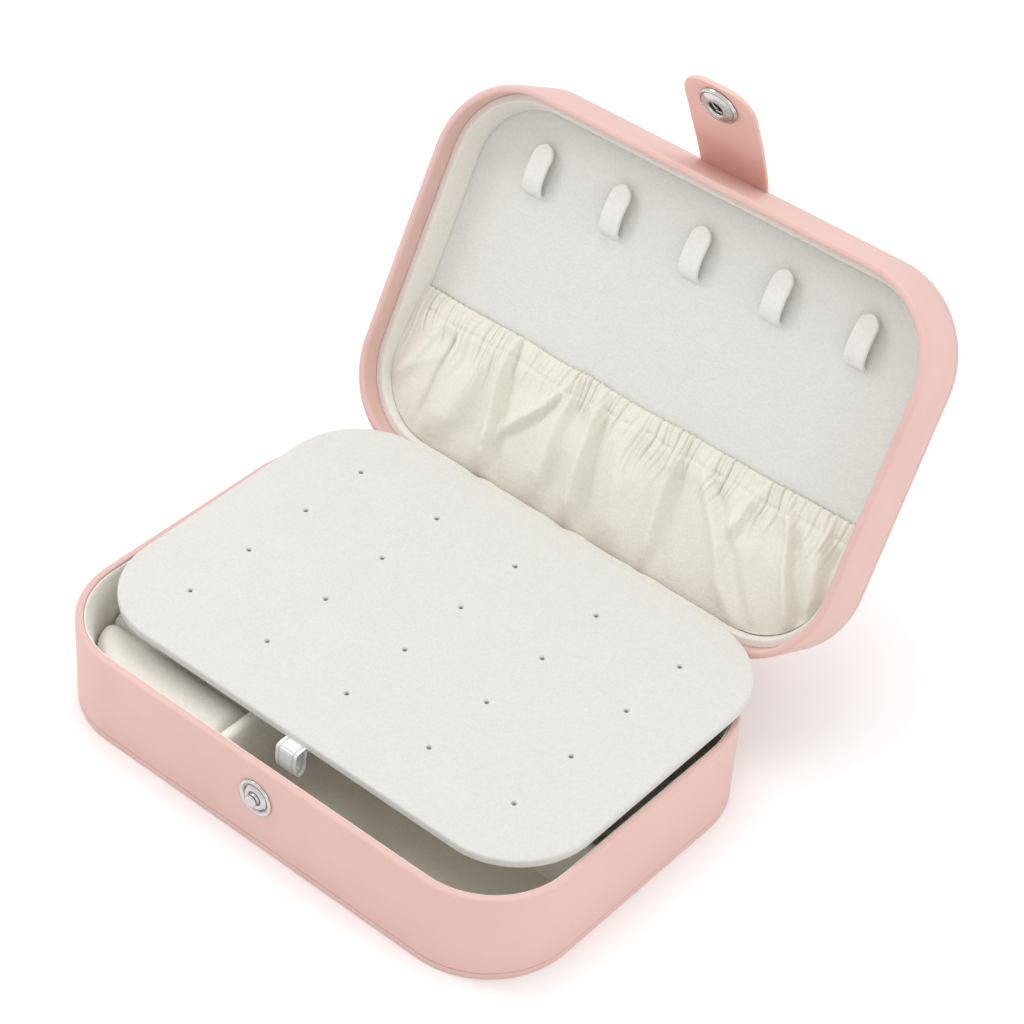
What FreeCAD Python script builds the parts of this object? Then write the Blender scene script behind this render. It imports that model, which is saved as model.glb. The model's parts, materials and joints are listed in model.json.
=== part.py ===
import FreeCAD, Part
import math
import os
import Sketcher
from FreeCAD import Placement, Rotation, Vector

# Travel jewellery case, lid open. The origin is the middle of the base's underside, +X runs along
# the rear hinge, +Y points to the hinge and +Z points up. The lid's pieces are drawn where they
# lie with the case shut, and one placement swings them open about the hinge.

SIZES = {
    # case outline and shells
    "case_width": 200.0,
    "case_depth": 137.6,
    "corner_radius": 32.3,
    "base_height": 35.2,
    "lid_height": 24.7,
    "rim_gap": 0.3,
    "wall": 2.8,
    "lining": 3.0,
    "rim_round": 1.1,
    "bottom_thickness": 2.6,
    "bottom_round": 0.8,
    "top_thickness": 2.6,
    "top_round": 1.8,
    "floor_thickness": 2.0,
    "lining_drop": 0.2,
    "lid_recess": 7.4,
    "panel_depth": 16.4,
    # hinge of the lid
    "hinge_back": 1.8,
    "hinge_drop": 1.85,
    "open_angle": 117.0,
    "hinge_leather": 0.8,
    "hinge_bend_radius": 3.3,
    "hinge_glued": 9.0,
    # inside of the base
    "divider_thickness": 4.5,
    "divider_top": 28.0,
    "long_divider_place": -22.1,
    "cross_divider_place": -17.25,
    "roll_count": 6.0,
    "roll_gap": 0.3,
    "roll_top": 25.0,
    # earring board
    "board_width": 190.4,
    "board_depth": 131.0,
    "board_radius": 29.3,
    "board_core": 2.6,
    "board_cloth": 0.4,
    "board_slack": 0.7,
    "board_back": 12.2,
    "board_top": 40.0,
    "board_tilt": 0.9,
    "stud_hole_radius": 0.9,
    "stud_hole_step_across": 34.6,
    "stud_hole_step_along": 27.3,
    "ribbon_width": 8.0,
    "ribbon_place": 1.6,
    "ribbon_drop": 12.0,
    # necklace hooks and pocket
    "hook_step": 33.7,
    "hook_middle": 1.5,
    "hook_width": 8.0,
    "hook_thickness": 1.5,
    "hook_foot": -33.0,
    "hook_length": 18.0,
    "hook_rise": 4.6,
    "hook_slit": 2.0,
    "hook_crest_near": 4.6,
    "hook_crest_far": 13.0,
    "hook_tip_droop": 1.84,
    "pocket_mouth": 13.0,
    "pocket_cloth": 1.2,
    "pocket_gap": 4.8,
    "pocket_sag": 0.6,
    "hem_width": 9.0,
    "elastic_width": 6.0,
    "elastic_thickness": 0.8,
    # snap strap and snap
    "strap_length": 45.5,
    "strap_width": 28.5,
    "strap_root_drop": 2.2,
    "snap_reach": 36.5,
    "strap_thickness": 1.6,
    "strap_radius": 9.5,
    "strap_rest_angle": 50.0,
    "strap_root_gap": 1.0,
    "snap_height": 21.7,
    "stud_radius": 6.75,
    "stud_flange": 0.8,
    "stud_neck_radius": 1.8,
    "stud_head_radius": 2.2,
    "stud_stand_out": 3.0,
    "rivet_radius": 1.2,
    "rivet_disc_radius": 4.5,
    "rivet_disc": 0.7,
    "socket_radius": 7.4,
    "socket_height": 2.2,
    "socket_bore": 3.0,
    "socket_shank": 2.6,
    "cap_radius": 7.6,
    "cap_height": 1.6,
}

doc = FreeCAD.newDocument("jewellery_case")
nodes = []


def make_sheet():
    """Put every driving dimension in the spreadsheet, with its name beside it."""
    sheet = doc.addObject("Spreadsheet::Sheet", "Sizes")
    for row, (name, value) in enumerate(SIZES.items(), start=1):
        sheet.set(f"A{row}", name)
        sheet.set(f"B{row}", str(value))
        sheet.setAlias(f"B{row}", name)
    doc.recompute()
    return sheet


sheet = make_sheet()


def size(name):
    """Value of one driving dimension, in mm or degrees."""
    return float(sheet.get(name))


def link(text):
    """Turn bare dimension names in a formula into references to the spreadsheet."""
    words = sorted(SIZES, key=len, reverse=True)
    out = ""
    rest = text
    while rest:
        word = next((w for w in words if rest.startswith(w)), None)
        out += f"Sizes.{word}" if word else rest[0]
        rest = rest[len(word):] if word else rest[1:]
    return out


def value(text):
    """Number that a formula of driving dimensions gives now."""
    return float(sheet.evalExpression(text))


def new_body(label, placement=None):
    """A PartDesign body that becomes one node."""
    body = doc.addObject("PartDesign::Body", label)
    body.Label = label
    body.Placement = placement or Placement()
    nodes.append(body)
    return body


def new_sketch(body, role, offset=None):
    """A sketch on one of the body's origin planes, moved along the plane's normal by a formula."""
    sketch = body.newObject("Sketcher::SketchObject", body.Name + "_sketch")
    plane = next(item for item in body.Origin.OriginFeatures if item.Role == role)
    sketch.AttachmentSupport = [(plane, "")]
    sketch.MapMode = "FlatFace"
    if offset:
        sketch.setExpression("AttachmentOffset.Base.z", link(offset))
    doc.recompute()
    return sketch


def drive(sketch, constraint, formula):
    """Add one dimension to a sketch and bind it to the spreadsheet."""
    index = sketch.addConstraint(constraint)
    sketch.setExpression(f"Constraints[{index}]", link(formula))


def rounded_rectangle(sketch, width, depth, radius):
    """Centred rectangle with four equal round corners."""
    w, d, r = value(width) / 2, value(depth) / 2, value(radius)
    first = sketch.GeometryCount
    corners = [
        Vector(w - r, -d + r, 0),
        Vector(w - r, d - r, 0),
        Vector(-w + r, d - r, 0),
        Vector(-w + r, -d + r, 0),
    ]
    sides = [
        (Vector(-w + r, -d, 0), Vector(w - r, -d, 0)),
        (Vector(w, -d + r, 0), Vector(w, d - r, 0)),
        (Vector(w - r, d, 0), Vector(-w + r, d, 0)),
        (Vector(-w, d - r, 0), Vector(-w, -d + r, 0)),
    ]
    for number in range(4):
        sketch.addGeometry(Part.LineSegment(*sides[number]))
        circle = Part.Circle(corners[number], Vector(0, 0, 1), r)
        start = math.radians(-90 + 90 * number)
        sketch.addGeometry(Part.ArcOfCircle(circle, start, start + math.pi / 2))
    lines = [first + 2 * n for n in range(4)]
    arcs = [first + 2 * n + 1 for n in range(4)]
    for number in range(4):
        sketch.addConstraint(Sketcher.Constraint("Tangent", lines[number], 2, arcs[number], 1))
        sketch.addConstraint(Sketcher.Constraint("Tangent", arcs[number], 2, lines[(number + 1) % 4], 1))
        kind = "Horizontal" if number % 2 == 0 else "Vertical"
        sketch.addConstraint(Sketcher.Constraint(kind, lines[number]))
    for number in range(1, 4):
        sketch.addConstraint(Sketcher.Constraint("Equal", arcs[0], arcs[number]))
    drive(sketch, Sketcher.Constraint("Radius", arcs[0], r), radius)
    drive(sketch, Sketcher.Constraint("DistanceX", -1, 1, lines[1], 1, w), f"({width}) / 2")
    drive(sketch, Sketcher.Constraint("DistanceX", lines[3], 1, -1, 1, w), f"({width}) / 2")
    drive(sketch, Sketcher.Constraint("DistanceY", -1, 1, lines[2], 1, d), f"({depth}) / 2")
    drive(sketch, Sketcher.Constraint("DistanceY", lines[0], 1, -1, 1, d), f"({depth}) / 2")


def polygon(sketch, points):
    """Closed outline of straight sides; each corner is a pair of formulas in the sketch's plane."""
    spots = [Vector(value(u), value(v), 0) for u, v in points]
    first = sketch.GeometryCount
    count = len(spots)
    for number, spot in enumerate(spots):
        sketch.addGeometry(Part.LineSegment(spot, spots[(number + 1) % count]))
    for number in range(count):
        line = first + number
        sketch.addConstraint(Sketcher.Constraint("Coincident", line, 2, first + (number + 1) % count, 1))
    for number, (u, v) in enumerate(points):
        for kind, formula, amount in (("DistanceX", u, spots[number].x), ("DistanceY", v, spots[number].y)):
            drive(sketch, Sketcher.Constraint(kind, -1, 1, first + number, 1, amount), formula)


def circle(sketch, u, v, radius):
    """A full circle about a point that two formulas give."""
    centre = Vector(value(u), value(v), 0)
    index = sketch.addGeometry(Part.Circle(centre, Vector(0, 0, 1), value(radius)))
    drive(sketch, Sketcher.Constraint("Radius", index, value(radius)), radius)
    drive(sketch, Sketcher.Constraint("DistanceX", -1, 1, index, 3, centre.x), u)
    drive(sketch, Sketcher.Constraint("DistanceY", -1, 1, index, 3, centre.y), v)


def pad(body, sketch, length, centred=False):
    """Extrude a sketch along its normal, or equally to both sides."""
    feature = body.newObject("PartDesign::Pad", body.Name + "_pad")
    feature.Profile = sketch
    feature.Midplane = centred
    feature.setExpression("Length", link(length))
    doc.recompute()
    return feature


def pocket(body, sketch, length):
    """Cut a sketch through the body, equally to both sides of its plane."""
    before = body.Shape.Volume
    feature = body.newObject("PartDesign::Pocket", body.Name + "_pocket")
    feature.Profile = sketch
    feature.Midplane = True
    feature.setExpression("Length", link(length))
    doc.recompute()
    assert body.Shape.Volume < before - 0.1, f"{body.Label}: the pocket cut nothing"
    return feature


def round_edges(body, radius, chosen):
    """Fillet the edges of the body's last feature that a test picks."""
    base = body.Tip
    names = [f"Edge{n}" for n, edge in enumerate(base.Shape.Edges, start=1) if chosen(edge)]
    fillet = body.newObject("PartDesign::Fillet", body.Name + "_fillet")
    fillet.Base = (base, names)
    fillet.setExpression("Radius", link(radius))
    doc.recompute()
    return fillet


def level(height):
    """Test for edges that lie flat at one height."""
    return lambda edge: all(abs(vertex.Z - height) < 1e-4 for vertex in edge.Vertexes)


def plate(label, width, depth, radius, bottom, thickness, placement=None):
    """Solid slab with the case's kind of rounded outline."""
    body = new_body(label, placement)
    sketch = new_sketch(body, "XY_Plane", bottom)
    rounded_rectangle(sketch, width, depth, radius)
    pad(body, sketch, thickness)
    return body


def ring(label, inset, thickness, bottom, height, placement=None):
    """Upright wall that follows the case outline, its outside inset from the case's outside."""
    body = new_body(label, placement)
    sketch = new_sketch(body, "XY_Plane", bottom)
    for offset in (inset, f"{inset} + {thickness}"):
        rounded_rectangle(
            sketch,
            f"case_width - 2 * ({offset})",
            f"case_depth - 2 * ({offset})",
            f"corner_radius - ({offset})",
        )
    pad(body, sketch, height)
    return body


def hinge_point():
    return Vector(0, value("case_depth / 2 + hinge_back"), value("base_height - hinge_drop"))


def turned(point, degrees):
    """Placement that turns about the X direction at a point."""
    return Placement(Vector(0, 0, 0), Rotation(Vector(1, 0, 0), degrees), point)


LID_OPEN = turned(hinge_point(), -size("open_angle"))

# Heights in the shut lid, counted up from its rim.
LID_RIM = "base_height + rim_gap"
LID_PANEL = "base_height + rim_gap + panel_depth"
CAVITY_WIDTH = "case_width - 2 * (wall + lining)"
CAVITY_DEPTH = "case_depth - 2 * (wall + lining)"
CAVITY_RADIUS = "corner_radius - wall - lining"
FLOOR = "bottom_thickness + floor_thickness"
GLUE_GAP = 0.15


def make_base_shell():
    """Leather wall with its rolled rim, the bottom board and the two lining pieces."""
    wall = ring("base_wall", "0", "wall", "bottom_thickness", "base_height - bottom_thickness")
    round_edges(wall, "rim_round", level(size("base_height")))
    hole = new_sketch(wall, "XZ_Plane", "case_depth / 2")
    circle(hole, "0", "snap_height", "rivet_radius + 0.05")
    pocket(wall, hole, "4 * wall")
    seat = new_sketch(wall, "XZ_Plane", "case_depth / 2 - wall")
    circle(seat, "0", "snap_height", "rivet_disc_radius + 0.1")
    pocket(wall, seat, "2 * (rivet_disc + 0.05)")
    bottom = plate("base_bottom_panel", "case_width", "case_depth", "corner_radius", "0", "bottom_thickness")
    round_edges(bottom, "bottom_round", level(0))
    lining_height = f"base_height - lining_drop - ({FLOOR})"
    ring("base_lining_wall", "wall", "lining", FLOOR, lining_height)
    plate(
        "base_lining_floor",
        "case_width - 2 * wall",
        "case_depth - 2 * wall",
        "corner_radius - wall",
        "bottom_thickness",
        "floor_thickness",
    )


def bar_in_cavity(label, profile, middle, length, bottom=FLOOR, placement=None):
    """Bar along X with a profile in the YZ plane, trimmed to the rounded inside of the case."""
    bar = doc.addObject("PartDesign::Body", label + "_bar")
    bar.Placement = placement or Placement()
    sketch = new_sketch(bar, "YZ_Plane", middle)
    profile(sketch)
    pad(bar, sketch, length, centred=True)
    room = doc.addObject("PartDesign::Body", label + "_room")
    room.Placement = placement or Placement()
    outline = new_sketch(room, "XY_Plane", bottom)
    slack = "0.2"
    rounded_rectangle(
        outline,
        f"{CAVITY_WIDTH} - {slack}",
        f"{CAVITY_DEPTH} - {slack}",
        f"{CAVITY_RADIUS} - {slack} / 2",
    )
    pad(room, outline, "base_height")
    common = doc.addObject("Part::Common", label)
    common.Label = label
    common.Base = bar
    common.Tool = room
    doc.recompute()
    nodes.append(common)
    return bar


def make_dividers():
    """One divider from front to back, and one from it to the right wall."""
    long_divider = new_body("long_divider")
    sketch = new_sketch(long_divider, "XZ_Plane")
    left = "long_divider_place - divider_thickness / 2"
    right = "long_divider_place + divider_thickness / 2"
    polygon(sketch, [(left, FLOOR), (right, FLOOR), (right, "divider_top"), (left, "divider_top")])
    pad(long_divider, sketch, f"{CAVITY_DEPTH} - 0.2", centred=True)
    tall = size("divider_top")
    along_y = lambda edge: level(tall)(edge) and edge.Length > size("divider_thickness") + 1
    round_edges(long_divider, "divider_thickness / 2 - 0.25", along_y)

    cross = new_body("cross_divider")
    near = "cross_divider_place - divider_thickness / 2"
    far = "cross_divider_place + divider_thickness / 2"
    start = "long_divider_place + divider_thickness / 2 + 0.1"
    end = f"({CAVITY_WIDTH}) / 2 - 0.1"
    sketch = new_sketch(cross, "YZ_Plane", f"({start} + {end}) / 2")
    polygon(sketch, [(near, FLOOR), (far, FLOOR), (far, "divider_top"), (near, "divider_top")])
    pad(cross, sketch, f"{end} - ({start})", centred=True)
    along_x = lambda edge: level(tall)(edge) and edge.Length > size("divider_thickness") + 1
    round_edges(cross, "divider_thickness / 2 - 0.25", along_x)


def make_ring_rolls():
    """Row of padded rolls, left of the long divider; rings stand in the creases between them."""
    count = round(size("roll_count"))
    step = f"({CAVITY_DEPTH}) / roll_count"
    end = "long_divider_place - divider_thickness / 2 - 0.1"
    start = f"-({CAVITY_WIDTH}) / 2 + 0.1"
    for number in range(count):
        near = f"-({CAVITY_DEPTH}) / 2 + {number} * {step} + roll_gap / 2"
        far = f"{near} + {step} - roll_gap"
        outline = [(near, FLOOR), (far, FLOOR), (far, "roll_top"), (near, "roll_top")]
        bar = bar_in_cavity(
            f"ring_roll_{number + 1}",
            lambda sketch: polygon(sketch, outline),
            f"({start} + {end}) / 2",
            f"{end} - ({start})",
        )
        along_x = lambda edge: level(size("roll_top"))(edge) and edge.Length > value(step)
        round_edges(bar, f"({step} - roll_gap) / 2 - 0.1", along_x)


def turned_piece(label, profile, placement):
    """Round metal piece: a half profile of (radius, height) formulas turned about Z."""
    body = new_body(label, placement)
    sketch = new_sketch(body, "XZ_Plane")
    polygon(sketch, profile)
    feature = body.newObject("PartDesign::Revolution", label + "_turn")
    feature.Profile = sketch
    feature.ReferenceAxis = (sketch, ["V_Axis"])
    feature.Angle = 360
    doc.recompute()
    return body


def make_snap_stud():
    """Stud half of the snap on the front wall, and the rivet that clamps it from inside."""
    face = Vector(0, -value("case_depth / 2"), size("snap_height"))
    outward = Placement(face, Rotation(Vector(1, 0, 0), 90))
    turned_piece(
        "snap_stud",
        [
            ("rivet_radius", "0"),
            ("stud_radius", "0"),
            ("stud_radius", "stud_flange / 2"),
            ("stud_radius - 0.8", "stud_flange"),
            ("stud_neck_radius + 1.2", "stud_flange * 0.6"),
            ("stud_neck_radius", "stud_flange"),
            ("stud_neck_radius", "stud_stand_out - 1.4"),
            ("stud_head_radius", "stud_stand_out - 1"),
            ("stud_head_radius", "stud_stand_out - 0.4"),
            ("stud_head_radius - 0.6", "stud_stand_out"),
            ("rivet_radius", "stud_stand_out"),
        ],
        outward,
    )
    turned_piece(
        "snap_stud_rivet",
        [
            ("0", "-wall"),
            ("rivet_disc_radius", "-wall"),
            ("rivet_disc_radius", "-wall + rivet_disc"),
            ("rivet_radius", "-wall + rivet_disc"),
            ("rivet_radius", "stud_stand_out - 0.1"),
            ("0", "stud_stand_out - 0.1"),
        ],
        outward,
    )


def make_hinge_leather():
    """Leather strip glued across the back: up the base, over the bend and onto the open lid."""
    thick = size("hinge_leather")
    bend = size("hinge_bend_radius")
    glued = size("hinge_glued")
    opened = math.radians(size("open_angle"))
    off = GLUE_GAP + thick / 2
    # in the YZ plane: the open lid's back wall runs along "along", and "inward" points off it
    along = Vector(0, math.sin(opened), math.cos(opened))
    inward = Vector(0, math.cos(opened), -math.sin(opened))
    lid_line = LID_OPEN.multVec(Vector(0, value("case_depth / 2") + off, value(LID_RIM)))
    centre_y = value("case_depth / 2") + off + bend
    leave = lid_line + along * ((centre_y - lid_line.y - bend * inward.y) / along.y)
    centre = leave + inward * bend
    outer, inner = bend + thick / 2, bend - thick / 2

    def on_bend(radius, angle):
        return centre + Vector(0, radius * math.cos(angle), radius * math.sin(angle))

    angles = (math.pi, math.pi - opened / 2, math.pi - opened)
    far = [on_bend(outer, angle) for angle in angles]
    near = [on_bend(inner, angle) for angle in angles]
    down = Vector(0, 0, -glued)
    out = along * glued
    edges = [
        Part.LineSegment(far[0] + down, far[0]).toShape(),
        Part.Arc(*far).toShape(),
        Part.LineSegment(far[2], far[2] + out).toShape(),
        Part.LineSegment(far[2] + out, near[2] + out).toShape(),
        Part.LineSegment(near[2] + out, near[2]).toShape(),
        Part.Arc(*reversed(near)).toShape(),
        Part.LineSegment(near[0], near[0] + down).toShape(),
        Part.LineSegment(near[0] + down, far[0] + down).toShape(),
    ]
    half_width = value("case_width / 2 - corner_radius")
    face = Part.Face(Part.Wire(edges))
    face.translate(Vector(-half_width, 0, 0))
    strip = doc.addObject("Part::Feature", "hinge_leather")
    strip.Label = "hinge_leather"
    strip.Shape = face.extrude(Vector(2 * half_width, 0, 0))
    strip.Placement = Placement()
    nodes.append(strip)


def make_lid_shell():
    """Leather wall and top board of the lid, its lining wall and its padded back panel."""
    wall = ring("lid_wall", "0", "wall", LID_RIM, "lid_height - top_thickness", LID_OPEN)
    round_edges(wall, "rim_round", level(value(LID_RIM)))
    top = plate(
        "lid_top_panel",
        "case_width",
        "case_depth",
        "corner_radius",
        f"{LID_RIM} + lid_height - top_thickness",
        "top_thickness",
        LID_OPEN,
    )
    round_edges(top, "top_round", level(value(f"{LID_RIM} + lid_height")))
    lining_start = f"{LID_RIM} + lid_recess"
    ring("lid_lining_wall", "wall", "lining", lining_start, "panel_depth - lid_recess", LID_OPEN)
    plate(
        "lid_back_panel",
        "case_width - 2 * wall",
        "case_depth - 2 * wall",
        "corner_radius - wall",
        LID_PANEL,
        "lid_height - top_thickness - panel_depth",
        LID_OPEN,
    )


def make_hooks():
    """Row of necklace hooks: each a tab that leaves the padded panel and ends in a free round tip."""
    tip = value("hook_foot - hook_length")
    for number in range(5):
        hook = new_body(f"necklace_hook_{number + 1}", LID_OPEN)
        sketch = new_sketch(hook, "YZ_Plane", f"hook_middle + hook_step * ({number - 2})")
        crest = f"{LID_PANEL} - hook_rise"
        tip_height = f"{crest} + hook_tip_droop"
        outline = [
            ("hook_foot", LID_PANEL),
            ("hook_foot - hook_slit", LID_PANEL),
            ("hook_foot - hook_crest_near", f"{crest} + hook_thickness"),
            ("hook_foot - hook_crest_far", f"{crest} + hook_thickness"),
            ("hook_foot - hook_length", f"{tip_height} + hook_thickness / 2"),
            ("hook_foot - hook_length", f"{tip_height} - hook_thickness / 2"),
            ("hook_foot - hook_crest_far", crest),
            ("hook_foot - hook_crest_near + 1", crest),
        ]
        polygon(sketch, outline)
        pad(hook, sketch, "hook_width", centred=True)
        at_tip = lambda edge: edge.Length < 2 and all(abs(vertex.Y - tip) < 1e-4 for vertex in edge.Vertexes)
        round_edges(hook, "hook_width / 2 - 0.3", at_tip)


def make_pocket():
    """Gathered cloth pocket across the hinge side of the lid, with an elastic in its hem."""
    hem_low = f"{LID_PANEL} - pocket_gap - 2 * pocket_cloth"
    hem_high = f"{LID_PANEL} - pocket_gap"
    rear = f"({CAVITY_DEPTH}) / 2 - 0.1"
    tunnel_near = "pocket_mouth + (hem_width - elastic_width) / 2"
    tunnel_far = "pocket_mouth + (hem_width + elastic_width) / 2"
    tunnel_low = f"{hem_low} + pocket_cloth - elastic_thickness / 2"
    tunnel_high = f"{hem_low} + pocket_cloth + elastic_thickness / 2"
    tunnel = [
        (tunnel_near, tunnel_low),
        (tunnel_far, tunnel_low),
        (tunnel_far, tunnel_high),
        (tunnel_near, tunnel_high),
    ]

    def profile(sketch):
        polygon(
            sketch,
            [
                ("pocket_mouth", hem_low),
                ("pocket_mouth + hem_width", hem_low),
                (rear, f"{hem_low} - pocket_sag"),
                (rear, f"{hem_low} - pocket_sag + pocket_cloth"),
                ("pocket_mouth + hem_width + 1", f"{hem_low} + pocket_cloth"),
                ("pocket_mouth + hem_width", hem_high),
                ("pocket_mouth", hem_high),
            ],
        )
        polygon(sketch, tunnel)

    bar_in_cavity("pocket_fabric", profile, "0", f"{CAVITY_WIDTH} - 0.4", LID_RIM, LID_OPEN)
    elastic = new_body("pocket_elastic", LID_OPEN)
    sketch = new_sketch(elastic, "YZ_Plane")
    polygon(sketch, tunnel)
    pad(elastic, sketch, f"{CAVITY_WIDTH} - 4", centred=True)


def make_snap_strap():
    """Leather strap at the lid's front edge, with the socket half of the snap and its cap."""
    root = Vector(
        0,
        -value("case_depth / 2 + strap_root_gap"),
        value(f"{LID_RIM} + lid_height - strap_root_drop"),
    )
    hanging = Placement(root, Rotation(Vector(1, 0, 0), size("strap_rest_angle") - 90))
    place = LID_OPEN.multiply(hanging)
    strap = new_body("snap_strap", place)
    sketch = new_sketch(strap, "XZ_Plane")
    left, right = "-strap_width / 2", "strap_width / 2"
    polygon(sketch, [(left, "-0.5"), (right, "-0.5"), (right, "-strap_length"), (left, "-strap_length")])
    circle(sketch, "0", "-snap_reach", "socket_shank + 0.05")
    pad(strap, sketch, "strap_thickness", centred=True)
    end = -size("strap_length")
    short = size("strap_width") / 2
    corner = lambda edge: edge.Length < short and all(abs(vertex.Z - end) < 1e-4 for vertex in edge.Vertexes)
    round_edges(strap, "strap_radius", corner)

    half = size("strap_thickness") / 2
    reach = -size("snap_reach")
    outside = place.multiply(Placement(Vector(0, -half, reach), Rotation(Vector(1, 0, 0), 90)))
    inside = place.multiply(Placement(Vector(0, half, reach), Rotation(Vector(1, 0, 0), -90)))
    turned_piece(
        "snap_cap",
        [
            ("0", "-strap_thickness"),
            ("socket_shank", "-strap_thickness"),
            ("socket_shank", "0"),
            ("cap_radius", "0"),
            ("cap_radius", "cap_height * 0.35"),
            ("cap_radius - 1.6", "cap_height * 0.85"),
            ("cap_radius * 0.4", "cap_height"),
            ("0", "cap_height"),
        ],
        outside,
    )
    turned_piece(
        "snap_socket",
        [
            ("socket_bore", "0"),
            ("socket_radius", "0"),
            ("socket_radius", "socket_height * 0.5"),
            ("socket_radius - 1", "socket_height"),
            ("socket_bore + 0.9", "socket_height"),
            ("socket_bore", "socket_height * 0.7"),
        ],
        inside,
    )


def stud_hole_places():
    """Formulas for the centres of the board's twenty earring holes: five across, four along."""
    for row in range(4):
        for column in range(5):
            yield f"stud_hole_step_across * ({column - 2})", f"stud_hole_step_along * ({row - 1.5})"


def make_board():
    """Loose earring board: a stiff core between two skins of cloth, with a ribbon loop to lift it by."""
    place = Placement(
        Vector(size("board_slack"), size("board_back"), size("board_top")),
        Rotation(Vector(1, 0, 0), size("board_tilt")),
    )
    layers = (
        ("board_cloth_top", "-board_cloth", "board_cloth"),
        ("board_core", "-board_cloth - board_core", "board_core"),
        ("board_cloth_bottom", "-2 * board_cloth - board_core", "board_cloth"),
    )
    for label, bottom, thickness in layers:
        body = new_body(label, place)
        sketch = new_sketch(body, "XY_Plane", bottom)
        rounded_rectangle(sketch, "board_width", "board_depth", "board_radius")
        for u, v in stud_hole_places():
            circle(sketch, u, v, "stud_hole_radius")
        pad(body, sketch, thickness)

    loop = new_body("ribbon_loop", place)
    sketch = new_sketch(loop, "YZ_Plane", "ribbon_place")
    edge = "-board_depth / 2"
    top = "-board_cloth - board_core * 0.25"
    outline = [
        (edge, top),
        (f"{edge} - 3", f"{top} + 0.4"),
        (f"{edge} - 4.6", f"{top} - 1.6"),
        (f"{edge} - 4.2", f"{top} - ribbon_drop"),
        (f"{edge} - 2.4", f"{top} - ribbon_drop - 1.2"),
        (f"{edge} - 0.9", f"{top} - ribbon_drop"),
        (f"{edge} - 1.0", f"{top} - 1.6"),
        (edge, f"{top} - 1.2"),
        (edge, f"{top} - 0.7"),
        (f"{edge} - 1.5", f"{top} - 1.3"),
        (f"{edge} - 1.4", f"{top} - ribbon_drop + 0.1"),
        (f"{edge} - 2.4", f"{top} - ribbon_drop - 0.7"),
        (f"{edge} - 3.7", f"{top} - ribbon_drop + 0.1"),
        (f"{edge} - 4.1", f"{top} - 1.7"),
        (f"{edge} - 2.9", f"{top} - 0.1"),
        (edge, f"{top} - 0.5"),
    ]
    polygon(sketch, outline)
    pad(loop, sketch, "ribbon_width", centred=True)


def check_and_export():
    """Stop on any failed object, then write each node's STEP file."""
    doc.recompute()
    for item in doc.Objects:
        bad = [state for state in item.State if state in ("Invalid", "Error")]
        assert not bad, f"{item.Label}: {item.State}"
    os.makedirs("parts", exist_ok=True)
    for node in nodes:
        shape = node.Shape
        assert not shape.isNull() and shape.isValid(), f"{node.Label}: bad shape"
        assert len(shape.Solids) >= 1, f"{node.Label}: no solid"
        shape.exportStep(f"parts/{node.Label}.step")
        box = shape.BoundBox
        print(f"{node.Label:20s} solids {len(shape.Solids)} volume {shape.Volume:10.1f}", end=" ")
        print(f"x {box.XMin:.1f}..{box.XMax:.1f} y {box.YMin:.1f}..{box.YMax:.1f}", end=" ")
        print(f"z {box.ZMin:.1f}..{box.ZMax:.1f}")


make_base_shell()
make_dividers()
make_ring_rolls()
make_snap_stud()
make_hinge_leather()
make_lid_shell()
make_hooks()
make_pocket()
make_snap_strap()
make_board()
check_and_export()
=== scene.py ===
import json
import math

import bmesh
import bpy
import numpy as np
from mathutils import Matrix, Vector, noise


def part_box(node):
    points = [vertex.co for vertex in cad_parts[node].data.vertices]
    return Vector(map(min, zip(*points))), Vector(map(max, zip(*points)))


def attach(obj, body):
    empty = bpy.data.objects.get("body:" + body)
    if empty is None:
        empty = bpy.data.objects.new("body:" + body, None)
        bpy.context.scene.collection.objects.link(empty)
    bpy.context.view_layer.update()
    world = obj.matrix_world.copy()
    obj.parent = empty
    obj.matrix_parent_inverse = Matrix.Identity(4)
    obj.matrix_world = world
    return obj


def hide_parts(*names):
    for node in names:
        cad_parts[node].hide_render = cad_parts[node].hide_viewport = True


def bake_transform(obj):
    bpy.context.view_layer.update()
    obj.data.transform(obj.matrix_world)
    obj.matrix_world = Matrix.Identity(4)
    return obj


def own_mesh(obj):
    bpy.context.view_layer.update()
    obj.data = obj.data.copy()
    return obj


# Looks of an open travel jewellery case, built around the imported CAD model. Lengths are in metres.
# The lid's pieces are drawn where they lie with the case shut and are swung open by one matrix.

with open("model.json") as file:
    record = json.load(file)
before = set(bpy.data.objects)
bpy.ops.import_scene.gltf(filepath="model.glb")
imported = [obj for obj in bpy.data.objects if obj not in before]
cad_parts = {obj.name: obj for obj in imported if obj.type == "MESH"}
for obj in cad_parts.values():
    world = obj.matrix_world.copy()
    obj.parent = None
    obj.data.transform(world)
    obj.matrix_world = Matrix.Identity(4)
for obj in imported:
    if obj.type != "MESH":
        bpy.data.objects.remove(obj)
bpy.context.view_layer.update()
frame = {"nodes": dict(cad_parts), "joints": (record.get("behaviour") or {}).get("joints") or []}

MM = 0.001
X_AXIS = Vector((1, 0, 0))

# ---------------------------------------------------------------- sizes read from the frame
joints = {joint["name"]: joint for joint in frame["joints"]}
bottom_low, bottom_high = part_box("base_bottom_panel")
floor_low, floor_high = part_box("base_lining_floor")
CASE_WIDTH = bottom_high.x - bottom_low.x
CASE_DEPTH = bottom_high.y - bottom_low.y
BASE_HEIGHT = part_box("base_wall")[1].z
SEAM_HEIGHT = bottom_high.z
FLOOR_HEIGHT = floor_high.z
WALL = (CASE_WIDTH - (floor_high.x - floor_low.x)) / 2
HINGE = Vector(joints["lid_hinge"]["pos_m"])
OPEN_ANGLE = math.radians(joints["lid_hinge"]["range_deg"][1])
STRAP_PIVOT = Vector(joints["strap_hinge"]["pos_m"])

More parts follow.
